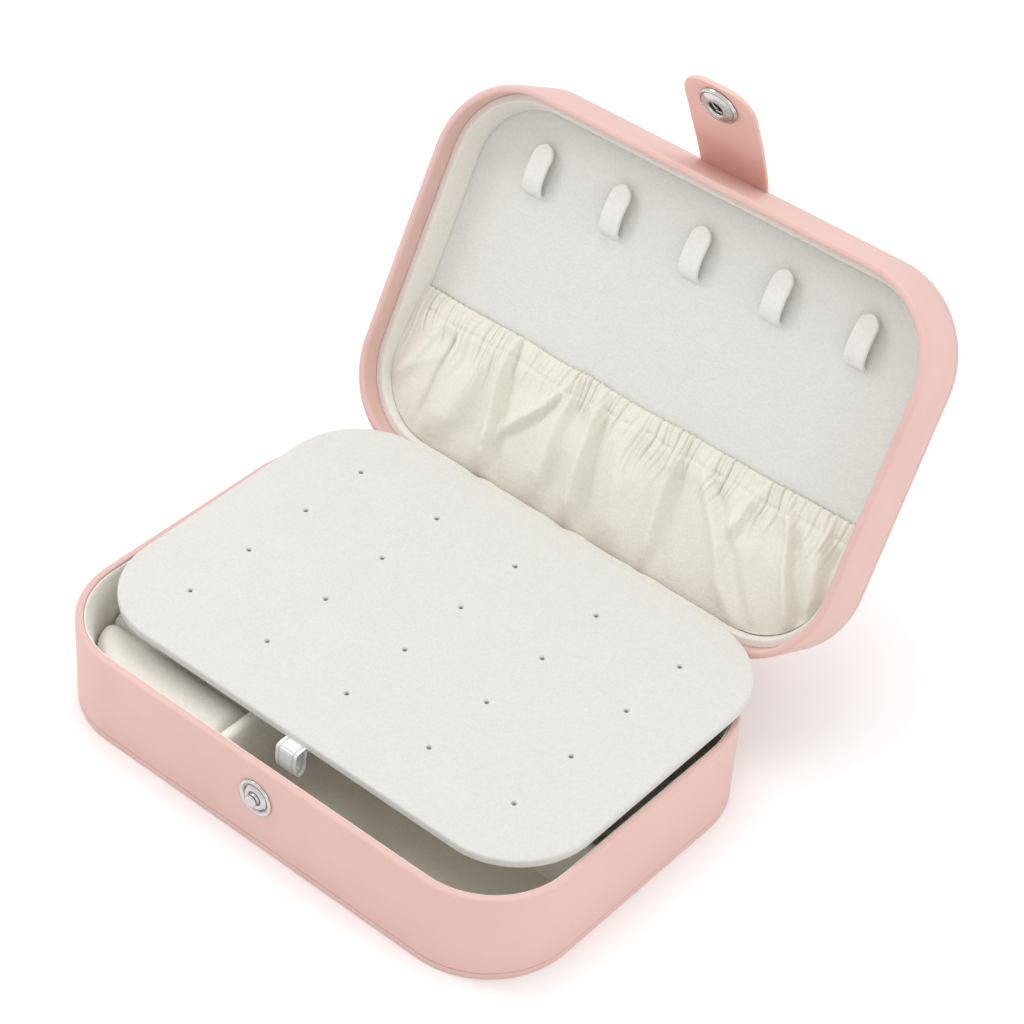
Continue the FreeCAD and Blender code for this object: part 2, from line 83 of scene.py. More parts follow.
# ---------------------------------------------------------------- sizes that the CAD model shares
CORNER_RADIUS = 32.3 * MM
LINING = 3.0 * MM
RIM_GAP = 0.3 * MM
LID_HEIGHT = 24.7 * MM
LID_RECESS = 7.4 * MM
PANEL_DEPTH = 16.4 * MM
LINING_SLOPE = 2.1 * MM
TOP_THICKNESS = 2.6 * MM
LID_RIM = BASE_HEIGHT + RIM_GAP
LID_TOP = LID_RIM + LID_HEIGHT
LID_PANEL = LID_RIM + PANEL_DEPTH
CAVITY_INSET = WALL + LINING
BOARD_Y = 12.2 * MM
BOARD_TOP = 40.0 * MM
BOARD_DEPTH = 131.0 * MM
BOARD_THICKNESS = 3.4 * MM
BOARD_TILT = math.radians(0.9)
BOARD_RADIUS = 29.3 * MM
STRAP_REST = math.radians(50)
STRAP_LENGTH = 45.5 * MM
STRAP_WIDTH = 28.5 * MM
STRAP_THICKNESS = 1.6 * MM
STRAP_END_RADIUS = 9.5 * MM
SNAP_REACH = 36.5 * MM
RIBBON_WIDTH = 8.6 * MM
# The ribbon's middle in X, from the board's middle and from the frame's origin.
RIBBON_OFFSET = 1.6 * MM
RIBBON_MIDDLE = 2.3 * MM
SNAP_HEIGHT = 21.7 * MM

LID_OPEN = (
    Matrix.Translation(HINGE)
    @ Matrix.Rotation(-OPEN_ANGLE, 4, X_AXIS)
    @ Matrix.Translation(-HINGE)
)
STRAP_PLACE = (
    Matrix.Translation(STRAP_PIVOT)
    @ Matrix.Rotation(-OPEN_ANGLE + STRAP_REST - math.pi / 2, 4, X_AXIS)
)

CORNER_STEPS = 18


# ---------------------------------------------------------------- mesh tools
def outline(width, depth, radius, side_steps=10):
    """Points of a centred rectangle with round corners, anticlockwise, as an array of x, y."""
    centres = [
        (width / 2 - radius, -depth / 2 + radius, -90),
        (width / 2 - radius, depth / 2 - radius, 0),
        (-width / 2 + radius, depth / 2 - radius, 90),
        (-width / 2 + radius, -depth / 2 + radius, 180),
    ]
    points = []
    for number, (x, y, start) in enumerate(centres):
        for step in range(CORNER_STEPS + 1):
            angle = math.radians(start + 90 * step / CORNER_STEPS)
            points.append((x + radius * math.cos(angle), y + radius * math.sin(angle)))
        next_x, next_y, next_start = centres[(number + 1) % 4]
        end = math.radians(next_start)
        target = (next_x + radius * math.cos(end), next_y + radius * math.sin(end))
        last = points[-1]
        for step in range(1, side_steps):
            share = step / side_steps
            x = last[0] + (target[0] - last[0]) * share
            y = last[1] + (target[1] - last[1]) * share
            points.append((x, y))
    return np.array(points)


def case_ring(inset, height):
    """The case's outline moved inwards by inset, at one height."""
    flat = outline(CASE_WIDTH - 2 * inset, CASE_DEPTH - 2 * inset, CORNER_RADIUS - inset)
    return np.column_stack([flat, np.full(len(flat), height)])


def arc(centre, radius, start, end, steps):
    """Points of an arc in a profile plane, angles in degrees."""
    angles = np.radians(np.linspace(start, end, steps + 1))
    return [(centre[0] + radius * math.cos(a), centre[1] + radius * math.sin(a)) for a in angles]


def skin(rings, closed_rings=True, closed_stack=False):
    """Vertices and quads between successive rings of equally many points."""
    count = len(rings[0])
    verts = np.concatenate(rings)
    faces = []
    stack = len(rings) if closed_stack else len(rings) - 1
    around = count if closed_rings else count - 1
    for level in range(stack):
        here, there = level * count, ((level + 1) % len(rings)) * count
        for step in range(around):
            after = (step + 1) % count
            faces.append((here + step, here + after, there + after, there + step))
    return verts, faces


def make(name, verts, faces, material, body, place=None, replaces=(), sharp=38):
    """A mesh piece that rides on a body and stands for CAD nodes."""
    mesh = bpy.data.meshes.new(name)
    mesh.from_pydata([tuple(v) for v in verts], [], [tuple(f) for f in faces])
    if place is not None:
        mesh.transform(place)
    mesh.validate()
    mesh.update()
    mesh.shade_smooth()
    mesh.set_sharp_from_angle(angle=math.radians(sharp))
    piece = bpy.data.objects.new(name, mesh)
    bpy.context.scene.collection.objects.link(piece)
    mesh.materials.append(material)
    fix_normals(mesh)
    if body:
        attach(piece, body)
    if replaces:
        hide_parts(*replaces)
    return piece


def fix_normals(mesh):
    """Turn every face outwards."""
    work = bmesh.new()
    work.from_mesh(mesh)
    bmesh.ops.recalc_face_normals(work, faces=work.faces)
    work.to_mesh(mesh)
    work.free()


def wall_piece(name, profile, material, body, place=None, replaces=()):
    """A closed ring that follows the case's outline; profile is a closed loop of (inset, height)."""
    rings = [case_ring(inset, height) for inset, height in profile]
    verts, faces = skin(rings, closed_stack=True)
    return make(name, verts, faces, material, body, place, replaces)


def capped(rings, low=0.0, high=0.0):
    """Skin between rings, closed at both ends by shrinking rings that rise by low and high."""
    shares = (0.97, 0.9, 0.8, 0.65, 0.5, 0.35, 0.2, 0.08)

    def cap(ring, rise):
        centre = ring.mean(axis=0)
        made = []
        for share in shares:
            inner = centre + (ring - centre) * share
            inner[:, 2] = ring[:, 2] + rise * (1 - share * share)
            made.append(inner)
        return made

    verts, faces = skin(cap(rings[0], low)[::-1] + rings + cap(rings[-1], high))
    count = len(rings[0])
    faces.append(tuple(range(len(verts) - count, len(verts))))
    faces.append(tuple(range(count)))
    return verts, faces


def plate_piece(name, profile, material, body, place=None, replaces=(), high=0.0):
    """A slab with the case's outline; profile runs from its lower edge to its upper edge."""
    rings = [case_ring(inset, height) for inset, height in profile]
    verts, faces = capped(rings, high=high)
    return make(name, verts, faces, material, body, place, replaces)


def in_mm(points):
    """Points given in millimetres, in metres."""
    return [(a * MM, b * MM) for a, b in points]


def lathe(name, profile, material, body, place, replaces=(), steps=64):
    """A round piece: (radius, height) points turned about Z; a radius of 0 closes an end."""
    angles = np.linspace(0, 2 * math.pi, steps, endpoint=False)
    rings = []
    for radius, height in profile:
        r = max(radius, 1e-6)
        rings.append(np.column_stack([r * np.cos(angles), r * np.sin(angles), np.full(steps, height)]))
    closed = profile[0][0] > 0
    verts, faces = skin(rings, closed_stack=closed)
    if not closed:
        faces.append(tuple(range(steps)))
        faces.append(tuple(range(len(verts) - steps, len(verts))))
    return make(name, verts, faces, material, body, place, replaces, sharp=50)


def strip(path, half_width, thickness, edge):
    """A flat strip along a path in the YZ plane, with rounded edges across X.
    half_width is one value, or a function of the share of the path's length."""
    path = np.array(path)
    tangents = np.gradient(path, axis=0)
    tangents /= np.linalg.norm(tangents, axis=1)[:, None]
    normals = np.column_stack([-tangents[:, 1], tangents[:, 0]])
    lengths = np.concatenate([[0], np.cumsum(np.linalg.norm(np.diff(path, axis=0), axis=1))])
    rings = []
    half_thick = thickness / 2
    for number, (point, normal) in enumerate(zip(path, normals)):
        share = lengths[number] / lengths[-1]
        half = half_width(share) if callable(half_width) else half_width
        e = min(edge, half * 0.9)
        ring = []
        across = np.linspace(-half + e, half - e, 9)
        for x in across:
            ring.append((x, half_thick))
        for angle in (60, 30, 0, -30, -60):
            a = math.radians(angle)
            ring.append((half - e + e * math.cos(a), half_thick * math.sin(a)))
        for x in reversed(across):
            ring.append((x, -half_thick))
        for angle in (-60, -30, 0, 30, 60):
            a = math.radians(angle)
            ring.append((-half + e - e * math.cos(a), half_thick * math.sin(a)))
        placed = [(x, point[0] + normal[0] * t, point[1] + normal[1] * t) for x, t in ring]
        rings.append(np.array(placed))
    verts, faces = skin(rings)
    count = len(rings[0])
    faces.append(tuple(range(count)))
    faces.append(tuple(range(len(verts) - count, len(verts))))
    return verts, faces


def curve_points(points, steps):
    """Smooth Catmull-Rom path through given points."""
    points = [np.array(p, float) for p in points]
    points = [2 * points[0] - points[1]] + points + [2 * points[-1] - points[-2]]
    out = []
    for a, b, c, d in zip(points, points[1:], points[2:], points[3:]):
        for step in range(steps):
            t = step / steps
            square = (2 * a - 5 * b + 4 * c - d) * t**2
            cube = (3 * b - a - 3 * c + d) * t**3
            out.append(0.5 * (2 * b + (c - a) * t + square + cube))
    out.append(points[-2])
    return np.array(out)


# ---------------------------------------------------------------- materials
class Nodes:
    """Short hand for building one material's node tree."""

    def __init__(self, name):
        self.material = bpy.data.materials.new(name)
        self.material.use_nodes = True
        self.tree = self.material.node_tree
        self.shader = self.tree.nodes["Principled BSDF"]
        self.coords = self.add("ShaderNodeTexCoord").outputs["Object"]

    def add(self, kind, **values):
        node = self.tree.nodes.new(kind)
        for key, value in values.items():
            setattr(node, key, value)
        return node

    def link(self, source, target):
        self.tree.links.new(source, target)

    def noise(self, scale, detail=3.0, roughness=0.55, distortion=0.0):
        node = self.add("ShaderNodeTexNoise")
        node.inputs["Scale"].default_value = scale
        node.inputs["Detail"].default_value = detail
        node.inputs["Roughness"].default_value = roughness
        node.inputs["Distortion"].default_value = distortion
        self.link(self.coords, node.inputs["Vector"])
        return node.outputs["Fac"]

    def voronoi(self, scale):
        node = self.add("ShaderNodeTexVoronoi", feature="F1")
        node.inputs["Scale"].default_value = scale
        self.link(self.coords, node.inputs["Vector"])
        return node.outputs["Distance"]

    def ramp(self, value, stops):
        node = self.add("ShaderNodeValToRGB")
        ramp = node.color_ramp
        while len(ramp.elements) < len(stops):
            ramp.elements.new(0.5)
        for element, (position, colour) in zip(ramp.elements, stops):
            element.position = position
            element.color = (*colour, 1.0)
        self.link(value, node.inputs["Fac"])
        return node.outputs["Color"]

    def spread(self, value, low, high):
        node = self.add("ShaderNodeMapRange")
        node.inputs["To Min"].default_value = low
        node.inputs["To Max"].default_value = high
        self.link(value, node.inputs["Value"])
        return node.outputs["Result"]

    def math(self, operation, a, b):
        node = self.add("ShaderNodeMath", operation=operation)
        for socket, value in zip(node.inputs, (a, b)):
            if isinstance(value, (int, float)):
                socket.default_value = value
            else:
                self.link(value, socket)
        return node.outputs["Value"]

    def bump(self, layers):
        """Stack bump layers of (height, strength, distance) and wire the last to the shader."""
        previous = None
        for height, strength, distance in layers:
            node = self.add("ShaderNodeBump")
            node.inputs["Strength"].default_value = strength
            node.inputs["Distance"].default_value = distance
            self.link(height, node.inputs["Height"])
            if previous:
                self.link(previous, node.inputs["Normal"])
            previous = node.outputs["Normal"]
        self.link(previous, self.shader.inputs["Normal"])

    def set(self, **values):
        for key, value in values.items():
            self.shader.inputs[key.replace("_", " ")].default_value = value

    def colour(self, socket):
        self.link(socket, self.shader.inputs["Base Color"])

    def roughness(self, socket):
        self.link(socket, self.shader.inputs["Roughness"])


def tint(colour, factor):
    return tuple(min(1.0, c * factor) for c in colour)


def leather(name, colour):
    """Fine grained, faintly glossy coated leather."""
    n = Nodes(name)
    clouds = n.noise(28, 4)
    n.colour(n.ramp(clouds, [(0.3, tint(colour, 0.965)), (0.7, tint(colour, 1.03))]))
    grain = n.voronoi(1500)
    fine = n.noise(2600, 2)
    n.roughness(n.spread(n.noise(90, 3), 0.44, 0.56))
    n.bump([(n.noise(60, 2), 0.12, 0.0006), (grain, 0.22, 0.00012), (fine, 0.12, 0.00008)])
    n.set(Specular_IOR_Level=0.42, Coat_Weight=0.06, Coat_Roughness=0.35)
    return n.material


def velvet(name, colour, nap=1.0):
    """Short napped cloth: speckled, matt, with a soft sheen."""
    n = Nodes(name)
    patches = n.noise(70, 4)
    speck = n.noise(1400, 3, 0.7)
    fuzz = n.noise(900, 3, 0.7)
    mixed = n.math("ADD", n.math("MULTIPLY", patches, 0.15), n.math("MULTIPLY", fuzz, 0.85))
    n.colour(n.ramp(mixed, [(0.36, tint(colour, 0.96)), (0.62, tint(colour, 1.02))]))
    n.roughness(n.spread(speck, 0.86, 0.98))
    n.bump([(patches, 0.05 * nap, 0.0006), (fuzz, 0.4 * nap, 0.0005), (speck, 0.5 * nap, 0.00025)])
    n.set(Specular_IOR_Level=0.15, Sheen_Weight=0.18, Sheen_Roughness=0.5)
    return n.material


def metal(name, colour, roughness):
    """Polished metal with faint handling marks."""
    n = Nodes(name)
    marks = n.noise(900, 5, 0.7, 0.4)
    n.colour(n.ramp(marks, [(0.3, tint(colour, 0.93)), (0.75, colour)]))
    n.roughness(n.spread(marks, roughness * 0.7, roughness * 1.5))
    n.bump([(n.noise(420, 2), 0.05, 0.0002)])
    n.set(Metallic=1.0)
    return n.material


def ribbon_satin(name, colour):
    """Woven satin: fine ribs across the ribbon's width and a darker line near each edge."""
    n = Nodes(name)
    wave = n.add("ShaderNodeTexWave", wave_type="BANDS", bands_direction="Z")
    wave.inputs["Scale"].default_value = 480
    wave.inputs["Distortion"].default_value = 0.6
    n.link(n.coords, wave.inputs["Vector"])
    ribs = wave.outputs["Fac"]
    across = n.add("ShaderNodeSeparateXYZ")
    n.link(n.coords, across.inputs["Vector"])
    from_middle = n.math("ABSOLUTE", n.math("SUBTRACT", across.outputs["X"], RIBBON_MIDDLE), 0)
    from_line = n.math("ABSOLUTE", n.math("SUBTRACT", from_middle, 0.34 * RIBBON_WIDTH), 0)
    selvedge = n.math("LESS_THAN", from_line, 0.35 * MM)
    shade = n.math("SUBTRACT", ribs, n.math("MULTIPLY", selvedge, 0.9))
    n.colour(n.ramp(shade, [(0.0, tint(colour, 0.62)), (0.3, tint(colour, 0.86)), (0.8, colour)]))
    n.roughness(n.spread(ribs, 0.32, 0.5))
    n.bump([(ribs, 0.4, 0.00012), (n.noise(1500, 2), 0.15, 0.0001)])
    n.set(Specular_IOR_Level=0.5, Sheen_Weight=0.1)
    return n.material


PINK = (0.665, 0.437, 0.395)
# Painted light: the strap's pink is a brighter, redder copy of the lid's leather, standing in for light
# bounced onto the strap's root.
STRAP_PINK_PAINTED_LIGHT = (0.740, 0.455, 0.395)
LINING_WHITE = (0.625, 0.618, 0.588)
# Painted light and shade: the cavity's cloth is the board's velvet made brighter, for light inside the
# cavity, and warmer, for the warm shade there.
CAVITY_WHITE_PAINTED_LIGHT = (0.890, 0.855, 0.790)
# Painted shade: the cavity's floor is a darker, browner copy of the cavity cloth, for the shade under
# the board.
CAVITY_FLOOR_PAINTED_SHADE = (0.860, 0.800, 0.690)
POCKET_CREAM = (0.715, 0.695, 0.610)
BAND_CREAM = (0.730, 0.700, 0.645)
LEATHER = leather("pink_leather", PINK)
STRAP_LEATHER_PAINTED_LIGHT = leather("strap_leather_painted_light", STRAP_PINK_PAINTED_LIGHT)
CAVITY_CLOTH_PAINTED_LIGHT = velvet("cavity_velvet_painted_light", CAVITY_WHITE_PAINTED_LIGHT)
FLOOR_CLOTH_PAINTED_SHADE = velvet("floor_velvet_painted_shade", CAVITY_FLOOR_PAINTED_SHADE)
BAND_CLOTH = velvet("band_velvet", BAND_CREAM)
# Painted light: the lid's panel is the board's velvet brightened by 8 per cent for the light that falls
# on it.
PANEL_CLOTH_PAINTED_LIGHT = velvet("panel_velvet_painted_light", tint(LINING_WHITE, 1.08), nap=1.2)
# Painted light: the necklace tabs are the board's velvet brightened by 16 per cent, standing in for
# light on their faces.
TAB_CLOTH_PAINTED_LIGHT = velvet("tab_velvet_painted_light", tint(LINING_WHITE, 1.16), nap=0.7)
BOARD_CLOTH = velvet("board_velvet", LINING_WHITE, nap=0.7)
POCKET_CLOTH = velvet("pocket_cloth", POCKET_CREAM, nap=1.1)
NICKEL = metal("nickel", (0.62, 0.61, 0.60), roughness=0.15)
# Painted reflection: dark nickel in the grooves of the stud and the socket stands for dark surroundings
# reflected there.
DARK_REFLECTION_METAL = metal("nickel_painted_dark_reflection", (0.22, 0.21, 0.20), roughness=0.30)
# Painted shade: a near-black disc at the bottom of the socket's well stands for the shade in the hole.
PAINTED_SHADE_METAL = metal("snap_well_painted_shade", (0.03, 0.028, 0.025), roughness=0.4)
RIBBON = ribbon_satin("ribbon_satin", (0.82, 0.82, 0.82))


# ---------------------------------------------------------------- base
def build_base():
    rim = 1.2 * MM
    low = SEAM_HEIGHT + 0.05 * MM
    profile = [(0.9 * MM, low)]
    profile += arc((0.5 * MM, low + 0.5 * MM), 0.5 * MM, 250, 180, 4)
    profile += [(0, low + 8 * MM), (0, low + 18 * MM), (0, BASE_HEIGHT - rim)]
    profile += arc((rim, BASE_HEIGHT - rim), rim, 170, 90, 6)
    inner = 0.5 * MM
    profile += arc((WALL - inner, BASE_HEIGHT - inner), inner, 90, 0, 5)
    profile += [(WALL, BASE_HEIGHT - 4 * MM), (WALL, low)]
    wall_piece("base_leather_wall", profile, LEATHER, "base", replaces=["base_wall"])

    edge = 0.8 * MM
    under = [(edge, 0.0)] + arc((edge, edge), edge, 260, 180, 5)
    under += [(0, SEAM_HEIGHT - 0.5 * MM)]
    under += arc((0.4 * MM, SEAM_HEIGHT - 0.45 * MM), 0.4 * MM, 170, 100, 4)
    under += [(1.2 * MM, SEAM_HEIGHT)]
    plate_piece("base_leather_bottom", under, LEATHER, "base", replaces=["base_bottom_panel"])

    top = BASE_HEIGHT - 0.7 * MM
    lip = 0.3 * MM
    soft = [(WALL, FLOOR_HEIGHT), (WALL, top - 1.0 * MM)]
    soft += arc((WALL + lip, top - lip), lip, 160, 40, 6)
    for share in (0.12, 0.25, 0.4, 0.55, 0.7, 0.85, 1.0):
        inset = WALL + 1.8 * lip + (LINING - 1.8 * lip) * math.sin(math.pi / 2 * share)
        soft.append((inset, top - 0.4 * MM - 9 * MM * share))
    soft += [(CAVITY_INSET, top - 14 * MM), (CAVITY_INSET, FLOOR_HEIGHT)]
    # The lining, rolls and dividers wear the cavity cloth, with its painted light and shade.
    wall_piece("base_lining", soft, CAVITY_CLOTH_PAINTED_LIGHT, "base", replaces=["base_lining_wall"])

    bevel = 0.3 * MM
    floor = [(WALL, SEAM_HEIGHT), (WALL, FLOOR_HEIGHT - bevel), (WALL + bevel, FLOOR_HEIGHT)]
    replaced = ["base_lining_floor"]
    # The floor cloth's darker colour is painted shade.
    plate_piece("base_floor_cloth", floor, FLOOR_CLOTH_PAINTED_SHADE, "base", replaces=replaced)


def cushion_bar(low, high, squareness, bulge, end_round):
    """A padded bar along X inside the box from low to high: round on top, pinched at its ends."""
    steps_along, steps_round = 60, 36
    rings = []
    half_y, half_z = (high.y - low.y) / 2, (high.z - low.z) / 2
    centre_y, centre_z = (high.y + low.y) / 2, (high.z + low.z) / 2
    length = high.x - low.x
    for step in range(steps_along + 1):
        share = (1 - math.cos(math.pi * step / steps_along)) / 2
        x = low.x + length * share
        near_end = min(x - low.x, high.x - x)
        pinch = 1.0
        if near_end < end_round:
            pinch = math.sqrt(max(0.0, 1 - (1 - near_end / end_round) ** 2)) * 0.55 + 0.45
        ring = []
        for turn in range(steps_round):
            angle = 2 * math.pi * turn / steps_round
            c, s = math.cos(angle), math.sin(angle)
            y = math.copysign(abs(c) ** squareness, c)
            z = math.copysign(abs(s) ** squareness, s)
            swell = 1 + bulge * noise.noise(Vector((x * 60, y * 1.5 + centre_y * 90, z)))
            across = centre_y + half_y * y * swell * (0.9 + 0.1 * pinch)
            up = centre_z - half_z + half_z * (1 + z * swell) * pinch
            left = max(low.x, -cavity_half_width(across, CAVITY_INSET + 0.2 * MM))
            ring.append((left + (high.x - left) * (x - low.x) / length, across, up))
        rings.append(np.array(ring))
    verts, faces = skin(rings)
    faces.append(tuple(range(steps_round)))
    faces.append(tuple(range(len(verts) - steps_round, len(verts))))
    return verts, faces


def build_inside():
    for number in range(1, 7):
        node = f"ring_roll_{number}"
        low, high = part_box(node)
        verts, faces = cushion_bar(low, high, squareness=0.8, bulge=0.015, end_round=7 * MM)
        name = f"padded_ring_roll_{number}"
        roll = make(name, verts, faces, CAVITY_CLOTH_PAINTED_LIGHT, "base", replaces=[node])
    for node in ("long_divider", "cross_divider"):
        low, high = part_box(node)
        verts, faces = divider_mesh(low, high)
        make(f"{node}_cloth", verts, faces, CAVITY_CLOTH_PAINTED_LIGHT, "base", replaces=[node])


def divider_mesh(low, high):
    """Thin upright board wrapped in cloth: rounded along its top and slightly uneven."""
    along_x = high.x - low.x > high.y - low.y
    thick = (high.y - low.y) if along_x else (high.x - low.x)
    length = (high.x - low.x) if along_x else (high.y - low.y)
    centre = (low + high) / 2
    r = thick / 2
    height = high.z - low.z
    section = [(-r, 0), (-r, height - r)]
    section += arc((0, height - r), r, 180, 0, 10)[1:-1]
    section += [(r, height - r), (r, 0)]
    rings = []
    for share in np.linspace(0, 1, 30):
        ring = []
        for across, up in section:
            along = (share - 0.5) * length
            wobble = 0.12 * MM * noise.noise(Vector((along * 50, across * 400, up * 60)))
            aside = across + wobble
            shift = (along, aside) if along_x else (aside, along)
            spot = (centre.x + shift[0], centre.y + shift[1])
            ring.append((*spot, low.z + up + wobble))
        rings.append(np.array(ring))
    verts, faces = skin(rings)
    count = len(rings[0])
    faces.append(tuple(range(count)))
    faces.append(tuple(range(len(verts) - count, len(verts))))
    return verts, faces


# ---------------------------------------------------------------- lid
def build_lid():
    rim = 1.3 * MM
    seam = LID_TOP - TOP_THICKNESS - 0.05 * MM
    inner = 1.0 * MM
    profile = [(WALL, seam), (WALL, LID_RIM + 6 * MM)]
    profile += arc((WALL - inner, LID_RIM + inner), inner, 0, -90, 5)
    profile += arc((rim, LID_RIM + rim), rim, -90, -170, 6)
    profile += [(0, LID_RIM + rim + 6 * MM), (0, seam - 0.5 * MM)]
    profile += arc((0.5 * MM, seam - 0.5 * MM), 0.5 * MM, 170, 110, 3)
    profile += [(0.9 * MM, seam)]
    wall_piece("lid_leather_wall", profile, LEATHER, "lid", LID_OPEN, ["lid_wall"])

    edge = 1.8 * MM
    low = LID_TOP - TOP_THICKNESS
    top = [(1.2 * MM, low)] + arc((0.4 * MM, low + 0.45 * MM), 0.4 * MM, 260, 190, 4)
    top += arc((edge, LID_TOP - edge), edge, 175, 95, 8) + [(edge + 2 * MM, LID_TOP)]
    replaced = ["lid_top_panel"]
    plate_piece("lid_leather_top", top, LEATHER, "lid", LID_OPEN, replaced, high=0.25 * MM)

    lip = 0.8 * MM
    start = LID_RIM + LID_RECESS
    soft = [(WALL, LID_PANEL), (WALL, start + 0.3 * MM)]
    soft += arc((WALL + 0.3 * MM, start + 0.3 * MM), 0.3 * MM, 190, 270, 3)
    soft += arc((CAVITY_INSET - 0.9 * MM, start + lip), lip, 270, 345, 6)
    for share in (0.15, 0.3, 0.5, 0.7, 0.85, 1.0):
        swell = LINING_SLOPE * share**1.1
        soft.append((CAVITY_INSET + swell, start + lip + (LID_PANEL - start - lip) * share))
    soft += [(CAVITY_INSET + LINING_SLOPE, LID_PANEL + 0.4 * MM)]
    wall_piece("lid_lining", soft, BAND_CLOTH, "lid", LID_OPEN, ["lid_lining_wall"])

    edge = CAVITY_INSET + LINING_SLOPE
    back = LID_PANEL + 0.6 * MM
    pad = [(WALL, LID_TOP - TOP_THICKNESS), (WALL, back), (edge - 0.4 * MM, back)]
    pad += [(edge + 0.1 * MM, LID_PANEL + 0.3 * MM), (edge + 1.2 * MM, LID_PANEL)]
    rings = [case_ring(inset, height) for inset, height in reversed(pad)]
    verts, faces = capped(rings, low=-0.4 * MM)
    panel = make(
        "lid_padded_panel",
        verts,
        faces,
        PANEL_CLOTH_PAINTED_LIGHT,
        "lid",
        LID_OPEN,
        ["lid_back_panel"],
    )


def build_hooks():
    """Five tabs that come out of the panel, arch outwards and end in a free round tip."""
    foot_y = -33 * MM
    length = 18 * MM
    half = 4.0 * MM
    middle_mm, pitch_mm = 1.5, 33.7
    arch = [(0, 0.6), (-0.2, -0.8), (-1.6, -2.6), (-5.0, -3.8), (-9.5, -3.9), (-14.0, -3.2)]
    arch += [(-18.0, -2.5)]
    path = curve_points([(foot_y + y, LID_PANEL + z) for y, z in in_mm(arch)], steps=6)

    def half_width(share):
        back = (1 - share) * length
        if back >= half:
            return half
        return math.sqrt(max(0.02, 1 - (1 - back / half) ** 2)) * half

    flat_verts, faces = strip(path, half_width, thickness=1.5 * MM, edge=0.5 * MM)
    for number in range(5):
        x = (middle_mm + pitch_mm * (number - 2)) * MM
        verts = flat_verts + np.array([x, 0, 0])
        name = f"necklace_tab_{number + 1}"
        node = f"necklace_hook_{number + 1}"
        make(name, verts, faces, TAB_CLOTH_PAINTED_LIGHT, "lid", LID_OPEN, [node])


def cavity_half_width(y, inset):
    """Half the width of the case's outline at y, moved inwards by inset."""
    radius = CORNER_RADIUS - inset
    straight = CASE_DEPTH / 2 - inset - radius
    half = CASE_WIDTH / 2 - inset
    past = abs(y) - straight
    if past <= 0:
        return half
    return half - radius + math.sqrt(max(0.0, radius**2 - past**2))


# Main folds of the pocket on the shut lid, in mm: x at the hem, x at the foot, first y, last y,
# then the height as a share of FOLD_DEPTH and the spread of the left and of the right flank.
POCKET_FOLDS = [
    (-80, -88, 24, 48, 0.8, 3.0, 2.0),
    (-72, -74, 20, 57, -0.9, 1.2, 1.6),
    (-56, -64, 22, 56, 1.3, 5.0, 3.5),
    (-50, -43, 18, 61, 2.0, 3.0, 1.6),
    (-24, -42, 20, 48, 1.2, 2.6, 1.6),
    (-22, -20, 18, 58, 1.5, 4.0, 2.4),
    (-10, -4, 18, 61, 2.1, 3.2, 1.7),
    (3, 15, 21, 60, 1.3, 4.5, 4.0),
    (24, 28, 19, 60, 1.7, 2.4, 1.8),
    (36, 66, 21, 60, 1.2, 3.4, 2.2),
    (57, 53, 19, 36, 1.1, 2.4, 1.8),
    (70, 87, 20, 56, 1.6, 2.2, 1.6),
    (84, 93, 20, 50, 1.2, 3.0, 2.4),
]
FOLD_DEPTH = 1.8
PLEAT_PITCH = 2.8 * MM
STITCH_Y = 22 * MM


def fold_profile(offset, left, right):
    """Cross-section of one fold: a ridge with a hollow beside its steeper flank."""
    ridge = math.exp(-((offset / (left if offset < 0 else right)) ** 2))
    hollow = math.exp(-(((offset - 2.2 * right) / (1.4 * right)) ** 2))
    return ridge - 0.45 * hollow


def pleat_height(x, y):
    """Fine pleats drawn up by the elastic in the hem, fading out below the stitching."""
    cycles = x / PLEAT_PITCH + 1.3 * noise.noise(Vector((x * 75, 0.0, 8.2)))
    cycles += 0.8 * noise.noise(Vector((x * 70, y * 80, 3.1)))
    crest = 0.5 + 0.5 * math.sin(2 * math.pi * cycles)
    crest += 0.45 * math.sin(2 * math.pi * cycles * 1.63 + 1.1)
    crest += 0.5 * noise.noise(Vector((x * 420, y * 90, 1.0)))
    strength = 0.75 + 0.9 * noise.noise(Vector((x * 95, y * 40, 6.6)))
    below = max(0.0, y - STITCH_Y)
    reach = (8 + 9 * noise.noise(Vector((x * 80, 0.0, 5.0)))) * MM
    return 0.75 * MM * crest * strength * math.exp(-((below / reach) ** 2))


def fold_height(x, y):
    """How far the gathered cloth stands off its smooth surface, at a place on the shut lid."""
    total = pleat_height(x, y)
    line = STITCH_Y - 1.5 * MM + 1.2 * MM * noise.noise(Vector((x * 90, 0.4, 0.7)))
    pull = 0.35 + 0.5 * noise.noise(Vector((x * 260, 0.9, 4.2)))
    total -= pull * MM * math.exp(-(((y - line) / (0.8 * MM)) ** 2))
    for hem_x, foot_x, first, last, height, left, right in POCKET_FOLDS:
        share = (y / MM - first) / (last - first)
        bend = min(1.2, max(-0.2, share)) + 0.12 * noise.noise(Vector((hem_x, share * 1.7, 0.0)))
        centre = hem_x + (foot_x - hem_x) * bend
        rise = min(1.0, max(0.0, (share + 0.15) / 0.3)) * min(1.0, max(0.0, (1.12 - share) / 0.3))
        spread = 0.75 + 0.6 * max(0.0, min(1.0, share))
        profile = fold_profile(x / MM - centre, left * spread, right * spread)
        total += FOLD_DEPTH * height * MM * rise * profile
    down = max(0.0, (y - STITCH_Y) / (38 * MM))
    flow = x * (1 - 0.28 * down)
    ripple = 1 - 2.2 * abs(noise.noise(Vector((flow * 75, down * 1.1, 2.5))))
    total += min(1.0, down * 6) * max(0.0, 1.05 - down) * 1.9 * MM * (ripple - 0.5)
    return total


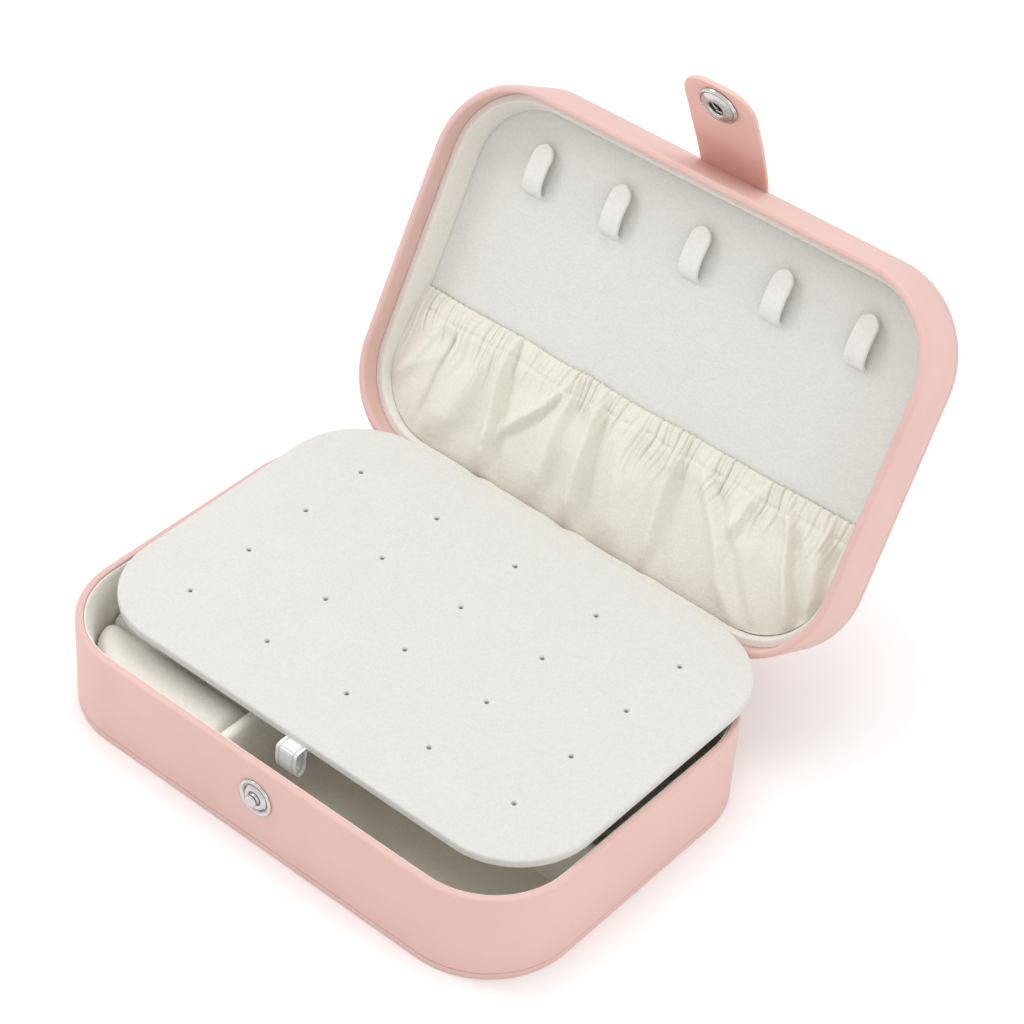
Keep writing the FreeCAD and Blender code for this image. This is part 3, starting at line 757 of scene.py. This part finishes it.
def build_pocket():
    """Gathered pocket across the lid's hinge side."""
    mouth = 14 * MM
    lift_reach = 26 * MM
    rear = CASE_DEPTH / 2 - CAVITY_INSET - 0.5 * MM
    along, down = 640, 110
    hem_lift, foot_lift, hem_roll = 1.7 * MM, 6.4 * MM, 0.7 * MM
    end_share, side_share, scallop_share = 0.015, 0.07, 0.06
    rings = []
    for row in range(down + 1):
        v = (row / down) ** 1.25
        y = mouth + (rear - mouth) * v
        half = cavity_half_width(y, CAVITY_INSET + 0.9 * MM)
        bulge = min(1.0, (y - mouth) / lift_reach)
        body = hem_lift + (foot_lift - hem_lift) * math.sin(math.pi / 2 * bulge)
        body -= 0.4 * MM * math.exp(-(((rear - y) / (1.0 * MM)) ** 2))
        roll = math.sqrt(1 - (1 - min(1.0, (y - mouth) / hem_roll)) ** 2)
        line = []
        for column in range(along + 1):
            u = column / along
            x = (2 * u - 1) * half
            edge = min(u, 1 - u)
            ends = min(1.0, edge / end_share)
            low_side = 0.5 * (1 - v) ** 0.6
            lift = body * (1 - low_side * (1 - min(1.0, edge / side_share)) ** 1.5)
            lift = (lift + fold_height(x, y) * ends) * (0.3 + 0.7 * roll)
            scallop = 0.8 * MM * noise.noise(Vector((x * 50, 5.5, 0))) - 0.5 * pleat_height(x, mouth)
            scallop *= math.exp(-v / scallop_share)
            line.append((x, y + scallop, LID_PANEL - lift))
        rings.append(np.array(line))
    verts, faces = skin(rings, closed_rings=False)
    piece = make(
        "pocket_cloth_gathered",
        verts,
        faces,
        POCKET_CLOTH,
        "lid",
        LID_OPEN,
        ["pocket_fabric", "pocket_elastic"],
        sharp=180,
    )
    thick = piece.modifiers.new("thickness", "SOLIDIFY")
    thick.thickness = 0.5 * MM
    thick.offset = 0


# ---------------------------------------------------------------- earring board
def build_board():
    low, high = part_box("board_core")
    centre = Vector(((low.x + high.x) / 2, BOARD_Y, BOARD_TOP))
    width = high.x - low.x
    place = Matrix.Translation(centre) @ Matrix.Rotation(BOARD_TILT, 4, X_AXIS)
    rings = []
    bottom = 0.6 * MM
    top = 0.9 * MM
    flat_from = 3.5 * MM
    edge = [(flat_from, -BOARD_THICKNESS)]
    edge += arc((bottom, bottom - BOARD_THICKNESS), bottom, 265, 190, 5)
    edge += [(0.08 * MM, -BOARD_THICKNESS / 2)]
    edge += arc((top, -top), top, 175, 92, 8)
    edge += [(flat_from, 0)]
    for inset, height in edge:
        flat = outline(width - 2 * inset, BOARD_DEPTH - 2 * inset, BOARD_RADIUS - inset, side_steps=14)
        rings.append(np.column_stack([flat, np.full(len(flat), height)]))
    verts, faces = capped(rings)
    board = make(
        "earring_board",
        verts,
        faces,
        BOARD_CLOTH,
        None,
        place,
        ["board_core", "board_cloth_top", "board_cloth_bottom"],
    )
    cut_stud_holes(board, place)
    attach(board, "board")
    return place


def cut_stud_holes(board, place):
    """Pierce the twenty earring holes, each with a dimple where the cloth is drawn in."""
    all_verts, all_faces = [], []
    steps = 20
    pitch_x, pitch_y = 34.6 * MM, 27.3 * MM
    profile = [(1.35, 0.25), (1.05, -0.08), (0.75, -0.45), (0.7, -3.0), (0.9, -3.6)]
    angles = np.linspace(0, 2 * math.pi, steps, endpoint=False)
    for row in range(4):
        for column in range(5):
            x, y = pitch_x * (column - 2), pitch_y * (row - 1.5)
            rings = []
            for r, h in in_mm(profile):
                ring = [x + r * np.cos(angles), y + r * np.sin(angles), np.full(steps, h)]
                rings.append(np.column_stack(ring))
            verts, faces = skin(rings)
            faces.append(tuple(range(steps)))
            faces.append(tuple(range(len(verts) - steps, len(verts))))
            offset = len(all_verts)
            all_faces += [tuple(i + offset for i in face) for face in faces]
            all_verts += list(verts)
    mesh = bpy.data.meshes.new("hole_cutter")
    mesh.from_pydata([tuple(v) for v in all_verts], [], all_faces)
    mesh.transform(place)
    fix_normals(mesh)
    cutter = bpy.data.objects.new("hole_cutter", mesh)
    bpy.context.scene.collection.objects.link(cutter)
    cut = board.modifiers.new("holes", "BOOLEAN")
    cut.object = cutter
    cut.operation = "DIFFERENCE"
    cut.solver = "EXACT"
    bpy.context.view_layer.objects.active = board
    board.select_set(True)
    bpy.ops.object.modifier_apply(modifier="holes")
    board.select_set(False)
    bpy.data.objects.remove(cutter)


def build_ribbon(place):
    """Short ribbon loop under the board's front edge: a flat top, a front ply and a rear ply."""
    edge = -BOARD_DEPTH / 2
    front = [(1.5, -2.9), (-1.0, -2.75), (-3.4, -2.9), (-4.5, -3.5), (-4.8, -5.5), (-5.0, -8.5)]
    front += [(-4.6, -11.2)]
    rear = [(-3.4, -12.4), (-1.6, -12.2), (-0.5, -10.4), (-0.3, -7.2), (0.2, -4.8), (1.5, -3.9)]
    path = curve_points([(edge + y, z) for y, z in in_mm(front + rear)], steps=5)
    verts, faces = strip(path, RIBBON_WIDTH / 2, thickness=0.35 * MM, edge=0.12 * MM)
    verts = verts + np.array([RIBBON_OFFSET, 0, 0])
    loop = make("board_ribbon", verts, faces, RIBBON, "board", place, ["ribbon_loop"])
    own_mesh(loop)


# ---------------------------------------------------------------- hinge, strap and snap
def build_hinge():
    """Leather strip glued to the back of the base and of the lid, bent between them."""
    low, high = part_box("hinge_leather")
    back = CASE_DEPTH / 2
    off = 0.55 * MM
    bend = 3.3 * MM
    along = Vector((0, math.sin(OPEN_ANGLE), math.cos(OPEN_ANGLE)))
    inward = Vector((0, math.cos(OPEN_ANGLE), -math.sin(OPEN_ANGLE)))
    lid_line = LID_OPEN @ Vector((0, back + off, LID_RIM))
    leave = lid_line + along * ((back + off + bend - lid_line.y - bend * inward.y) / along.y)
    centre = leave + inward * bend
    glued = 9 * MM
    points = [(back + off, low.z), (back + off, centre.z - 4 * MM)]
    points += arc((centre.y, centre.z), bend, 180, 180 - math.degrees(OPEN_ANGLE), 14)
    end = leave + along * glued
    points += [((leave.y + end.y) / 2, (leave.z + end.z) / 2), (end.y, end.z)]
    path = np.array(points)
    verts, faces = strip(path, (high.x - low.x) / 2, thickness=0.8 * MM, edge=0.4 * MM)
    replaced = ["hinge_leather"]
    leather_strip = make("rear_hinge_leather", verts, faces, LEATHER, None, replaces=replaced)
    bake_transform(leather_strip)


def strap_point(reach):
    """Centre line of the strap in its own frame: y and z at a distance from the pivot."""
    return 1.1 * MM * math.exp(-reach / (7 * MM)), -reach


def build_strap():
    """Leather strap at the lid's front edge, bending at its root."""
    reaches = [STRAP_LENGTH * (1 - (1 - step / 30) ** 1.5) for step in range(31)]
    path = [(1.4 * MM, 2.0 * MM)] + [strap_point(reach) for reach in reaches]
    dense = curve_points(path, steps=3)
    radius = STRAP_END_RADIUS
    half = STRAP_WIDTH / 2

    def half_width(share):
        back = (1 - share) * STRAP_LENGTH
        flare = 0.8 * MM * math.sin(math.pi / 2 * min(1.0, share * 1.6)) - 0.5 * MM
        if back >= radius:
            return half + flare
        return half + flare - radius + math.sqrt(max(0.0, radius**2 - (radius - back) ** 2))

    verts, faces = strip(dense, half_width, STRAP_THICKNESS, edge=0.6 * MM)
    replaced = ["snap_strap"]
    # The strap wears the painted-light copy of the lid's leather.
    strap = make("strap_leather_painted_light", verts, faces, STRAP_LEATHER_PAINTED_LIGHT, None, STRAP_PLACE, replaced)
    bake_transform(strap)


def build_stud():
    """Stud on the base's front wall: turned nickel, with painted dark reflections in the grooves
    between its rings.
    """
    seat = Vector((0, -CASE_DEPTH / 2, SNAP_HEIGHT))
    face = Matrix.Translation(seat) @ Matrix.Rotation(math.pi / 2, 4, X_AXIS)
    stud = [(0, 0.02), (6.2, 0.02), (6.75, 0.1), (6.75, 0.5), (6.5, 0.85), (6.0, 0.95), (5.5, 0.7)]
    stud += [(5.3, 0.35), (4.7, 0.25), (4.35, 0.4), (4.1, 0.95), (3.6, 1.25), (3.1, 1.2), (2.7, 0.8)]
    stud += [(2.2, 0.7), (1.85, 1.1), (1.7, 1.7), (1.85, 1.95), (2.25, 2.25), (2.25, 2.6)]
    stud += [(2.0, 2.85), (1.5, 3.0), (1.0, 2.94), (0.75, 2.7), (0.6, 2.5), (0, 2.45)]
    lathe("snap_stud_nickel", in_mm(stud), NICKEL, "base", face, ["snap_stud"])
    # Rings of dark metal in the grooves: painted dark reflections.
    grooves = [
        [(5.2, 0.2), (5.1, 0.42), (4.65, 0.42), (4.6, 0.2)],
        [(2.8, 0.5), (2.7, 0.86), (1.75, 0.86), (1.7, 0.5)],
        [(0.85, 2.5), (0.8, 2.8), (0.3, 2.8), (0.25, 2.5)],
    ]
    for number, groove in enumerate(grooves):
        name = f"snap_stud_painted_dark_reflection_{number + 1}"
        lathe(name, in_mm(groove), DARK_REFLECTION_METAL, "base", face)


def build_socket():
    """Socket on the strap's inner side, with its groove, spring wires and well; cap outside. The groove
    holds a painted dark reflection and the well a near-black disc of painted shade.
    """
    half = STRAP_THICKNESS / 2
    here, there = strap_point(SNAP_REACH - 2 * MM), strap_point(SNAP_REACH + 2 * MM)
    seat = strap_point(SNAP_REACH)
    slope = math.atan2(there[0] - here[0], here[1] - there[1])
    snap = STRAP_PLACE @ Matrix.Translation(Vector((0, *seat))) @ Matrix.Rotation(slope, 4, X_AXIS)
    inside = snap @ Matrix.Translation(Vector((0, half, 0))) @ Matrix.Rotation(-math.pi / 2, 4, X_AXIS)
    outside = snap @ Matrix.Translation(Vector((0, -half, 0))) @ Matrix.Rotation(math.pi / 2, 4, X_AXIS)

    socket = [(2.5, 0.3), (7.2, 0.1), (7.5, 0.4), (7.4, 0.9), (7.1, 1.3), (6.7, 1.35), (6.45, 1.1)]
    socket += [(6.2, 1.3), (5.6, 1.75), (4.8, 2.0), (4.2, 2.15), (3.6, 2.2), (3.15, 2.1)]
    socket += [(2.95, 1.8), (2.9, 1.2), (2.9, 0.5)]
    lathe("snap_socket_nickel", in_mm(socket), NICKEL, "strap", inside, ["snap_socket"])
    # Dark metal in the socket's groove: a painted dark reflection.
    groove = [(6.65, 0.6), (6.6, 1.25), (6.25, 1.25), (6.2, 0.6)]
    lathe("snap_socket_painted_dark_reflection", in_mm(groove), DARK_REFLECTION_METAL, "strap", inside)

    wire = [(0, -1.4), (0.18, -1.3), (0.2, -0.6), (0.2, 0), (0.2, 0.6), (0.18, 1.3), (0, 1.4)]
    from_centre, depth = 2.62 * MM, 0.7 * MM
    for side, word in ((-1, "lower"), (1, "upper")):
        turn = Matrix.Translation((0, side * from_centre, depth)) @ Matrix.Rotation(math.pi / 2, 4, "Y")
        name = f"snap_spring_wire_{word}"
        lathe(name, in_mm(wire), NICKEL, "strap", inside @ turn, steps=12)

    # The well's floor is a near-black disc of painted shade.
    well = [(0, 0.06), (2.95, 0.06), (2.95, 0.2), (0, 0.22)]
    lathe("snap_socket_well_painted_shade", in_mm(well), PAINTED_SHADE_METAL, "strap", inside)
    cap = [(0, -0.2), (7.2, -0.2), (7.6, 0.1), (7.55, 0.5), (7.1, 0.95), (6.0, 1.3), (4.5, 1.5)]
    cap += [(2.5, 1.6), (0, 1.65)]
    lathe("snap_cap_nickel", in_mm(cap), NICKEL, "strap", outside, ["snap_cap"])


# ---------------------------------------------------------------- carried-over CAD nodes
def dress_cad_nodes():
    """Nickel for the rivet behind the stud, the one CAD node that shows as it is."""
    materials = frame["nodes"]["snap_stud_rivet"].data.materials
    materials.clear()
    materials.append(NICKEL)


# ---------------------------------------------------------------- stage, light and camera
def build_stage():
    mesh = bpy.data.meshes.new("floor")
    reach = 3.0
    corners = [(-reach, -reach, 0), (reach, -reach, 0), (reach, reach, 0), (-reach, reach, 0)]
    mesh.from_pydata(corners, [], [(0, 1, 2, 3)])
    floor = bpy.data.objects.new("floor", mesh)
    bpy.context.scene.collection.objects.link(floor)
    material = bpy.data.materials.new("floor_white")
    material.use_nodes = True
    shader = material.node_tree.nodes["Principled BSDF"]
    shader.inputs["Base Color"].default_value = (0.95, 0.95, 0.95, 1)
    shader.inputs["Roughness"].default_value = 0.9
    mesh.materials.append(material)


def area_light(name, place, target, size, power):
    data = bpy.data.lights.new(name, "AREA")
    data.shape = "DISK"
    data.size = size
    data.energy = power
    lamp = bpy.data.objects.new(name, data)
    bpy.context.scene.collection.objects.link(lamp)
    lamp.location = place
    lamp.rotation_mode = "QUATERNION"
    lamp.rotation_quaternion = (Vector(target) - Vector(place)).to_track_quat("-Z", "Y")


def build_light():
    world = bpy.data.worlds.new("studio")
    bpy.context.scene.world = world
    world.use_nodes = True
    background = world.node_tree.nodes["Background"]
    background.inputs["Color"].default_value = (1.0, 1.0, 1.0, 1)
    background.inputs["Strength"].default_value = 0.96
    bpy.context.scene.view_settings.view_transform = "Standard"
    centre = (0, 0.04, 0.05)
    area_light("key", (-0.90, -0.35, 1.05), centre, size=0.45, power=3.6)
    area_light("top", (-0.15, 0.25, 1.40), centre, size=0.80, power=4.2)
    area_light("side", (1.15, 0.05, 0.75), centre, size=0.80, power=2.6)


def build_camera():
    azimuth, elevation, roll = (math.radians(a) for a in (37.485, 40.431, 4.511))
    distance = 1.036264
    target = Vector((-0.022325, 0.079071, 0.034416))
    back = Vector((
        math.sin(azimuth) * math.cos(elevation),
        -math.cos(azimuth) * math.cos(elevation),
        math.sin(elevation),
    ))
    level_right = (-back).cross(Vector((0, 0, 1))).normalized()
    level_up = level_right.cross(-back)
    right = level_right * math.cos(roll) + level_up * math.sin(roll)
    up = -level_right * math.sin(roll) + level_up * math.cos(roll)
    data = bpy.data.cameras.new("camera")
    data.lens = 107.0
    data.sensor_width = 36
    camera = bpy.data.objects.new("camera", data)
    bpy.context.scene.collection.objects.link(camera)
    turn = Matrix((right, up, back)).transposed().to_4x4()
    camera.matrix_world = Matrix.Translation(target + back * distance) @ turn
    bpy.context.scene.camera = camera


build_camera()
build_light()
build_stage()
build_base()
build_inside()
build_lid()
build_hooks()
build_pocket()
board_place = build_board()
build_ribbon(board_place)
build_hinge()
build_strap()
build_stud()
build_socket()
dress_cad_nodes()
